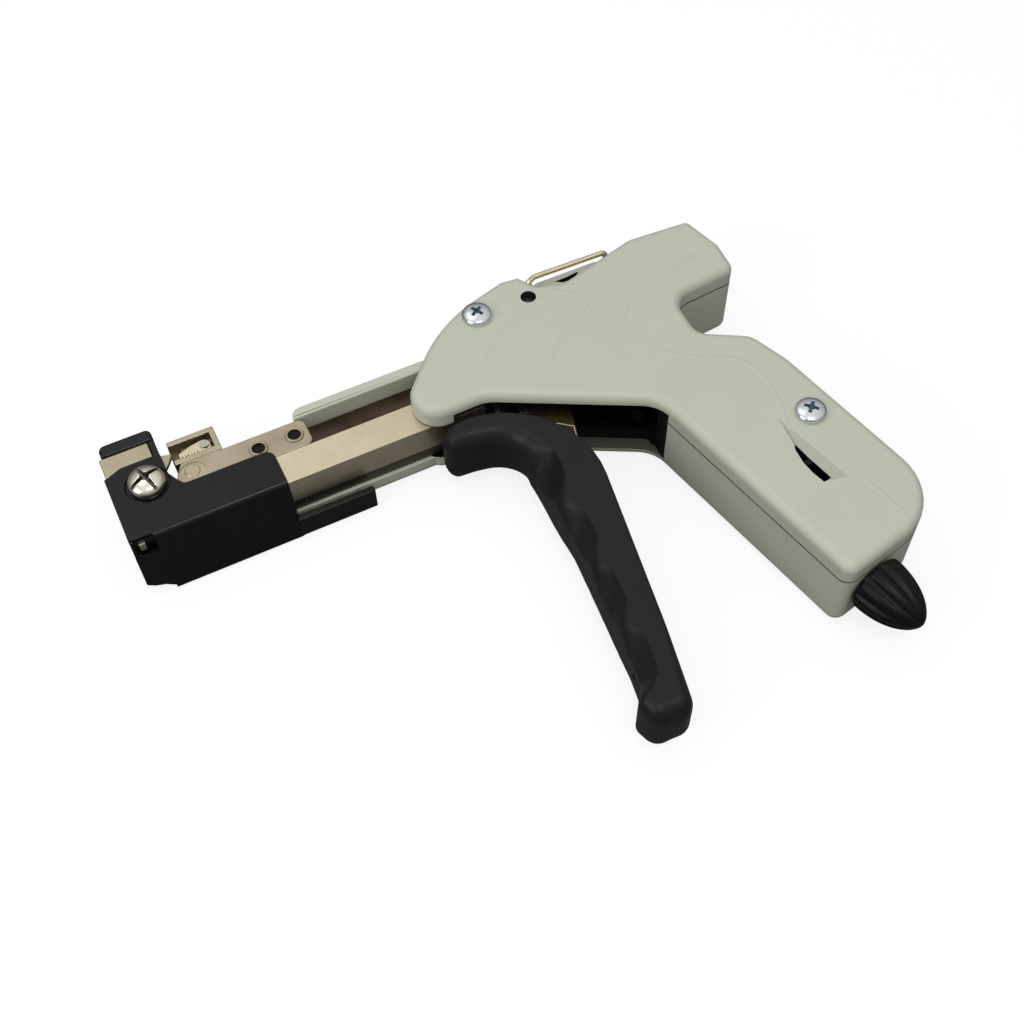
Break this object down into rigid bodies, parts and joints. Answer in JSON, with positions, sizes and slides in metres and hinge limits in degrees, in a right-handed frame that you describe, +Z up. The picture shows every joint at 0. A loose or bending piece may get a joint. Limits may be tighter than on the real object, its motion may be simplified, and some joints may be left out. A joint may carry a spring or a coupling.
{
  "type": "cable tie tensioning tool",
  "caption": "Hand tool that pulls a cable tie tight and cuts its tail: pistol housing, squeezing trigger, steel nose with jaw and gripper, and a fluted preset knob.",
  "frame": {"origin": "on the flat underside of the far shell, beneath the pivot of the trigger, with the tool lying on its side", "axes": "+X back along the barrel away from the nose, +Y towards the top edge of the tool, +Z up from the table through the thickness"},
  "size_m": [0.1765, 0.134, 0.0263],
  "materials": {
    "housing_paint": "satin grey-green coat",
    "trigger_black": "moulded dark satin",
    "black_cover": "semi-gloss black",
    "knob_black": "moulded satin",
    "nickel_steel": "nickel plated, brushed",
    "nickel_screw": "bright plated",
    "dark_steel": "dark oiled",
    "brown_steel": "browned",
    "pin_steel": "ground",
    "spring_steel": "drawn",
    "bush_brass": "turned",
    "bail_wire": "plated wire"
  },
  "bodies": {
    "housing": {"near_shell": "housing_paint", "far_shell": "housing_paint", "shell_screws": "nickel_screw", "frame_plate": "dark_steel", "barrel": "nickel_steel", "barrel_pins": "pin_steel", "front_jaw": "nickel_steel", "jaw_cap": "black_cover", "nose_cover": "black_cover", "nose_screw": "nickel_screw", "trigger_pin": "pin_steel", "rocker_pin": "pin_steel", "rod_bush": "bush_brass", "return_spring": "spring_steel", "tension_spring": "spring_steel"},
    "trigger": {"trigger": "trigger_black", "trigger_arms": "pin_steel", "trigger_rivets": "nickel_screw", "link_pin": "pin_steel"},
    "drive_link": {"drive_link": "dark_steel"},
    "tension_slide": {"slide_pin": "pin_steel", "tension_bar": "brown_steel", "gripper_carrier": "nickel_steel", "carrier_screws": "dark_steel", "pawl_pin": "pin_steel", "pawl_spring": "spring_steel"},
    "gripper_pawl": {"gripper_pawl": "nickel_steel"},
    "rocker": {"rocker": "dark_steel", "rocker_studs": "pin_steel"},
    "cutter_slide": {"cutter_bar": "dark_steel", "cutter_blade": "pin_steel", "cutter_link": "dark_steel", "cutter_rivet": "pin_steel"},
    "knob": {"knob": "knob_black", "tension_rod": "pin_steel", "rod_clip": "spring_steel"},
    "tension_nut": {"tension_nut": "bush_brass"},
    "bail": {"bail": "bail_wire"}
  },
  "joints": [
    {"name": "trigger_hinge", "type": "hinge", "parent": "housing", "child": "trigger", "pos_m": [0, 0, 0.012], "axis": [0, 0, 1], "range_deg": [0, 20], "stiffness_Nm_per_rad": 0.3},
    {"name": "tension_slide_joint", "type": "slide", "parent": "housing", "child": "tension_slide", "axis": [1, 0, 0], "range_m": [0, 0.0065]},
    {"name": "drive_link_hinge", "type": "hinge", "parent": "tension_slide", "child": "drive_link", "pos_m": [-0.024, -0.0101, 0.0146], "axis": [0, 0, 1], "range_deg": [0, 2]},
    {"name": "pawl_hinge", "type": "hinge", "parent": "tension_slide", "child": "gripper_pawl", "pos_m": [-0.0925, -0.0019, 0.0145], "axis": [0, 0, 1], "range_deg": [-5, 0], "stiffness_Nm_per_rad": 0.02},
    {"name": "rocker_hinge", "type": "hinge", "parent": "housing", "child": "rocker", "pos_m": [0.01456, -0.03597, 0.008], "axis": [0, 0, 1], "range_deg": [0, 12], "stiffness_Nm_per_rad": 0.5, "deforming": ["tension_spring"]},
    {"name": "cutter_slide_joint", "type": "slide", "parent": "housing", "child": "cutter_slide", "axis": [-1, 0, 0], "range_m": [0, 0.0024]},
    {"name": "knob_hinge", "type": "hinge", "parent": "housing", "child": "knob", "pos_m": [0.03677, -0.10856, 0.012], "axis": [0.2062, -0.9785, 0], "range_deg": [-900, 900]},
    {"name": "nut_slide", "type": "slide", "parent": "housing", "child": "tension_nut", "axis": [0.2062, -0.9785, 0], "range_m": [-0.0051, 0.0051], "deforming": ["tension_spring"]},
    {"name": "bail_hinge", "type": "hinge", "parent": "housing", "child": "bail", "pos_m": [0.00301, 0.0072, 0.012], "axis": [0, 0, 1], "range_deg": [0, 95]}
  ],
  "couplings": [
    {"joint": "tension_slide_joint", "follows": "trigger_hinge", "m_per_rad": 0.0183},
    {"joint": "drive_link_hinge", "follows": "trigger_hinge", "ratio": 0.075},
    {"joint": "cutter_slide_joint", "follows": "rocker_hinge", "m_per_rad": 0.01},
    {"joint": "nut_slide", "follows": "knob_hinge", "m_per_rad": 0.000318}
  ]
}
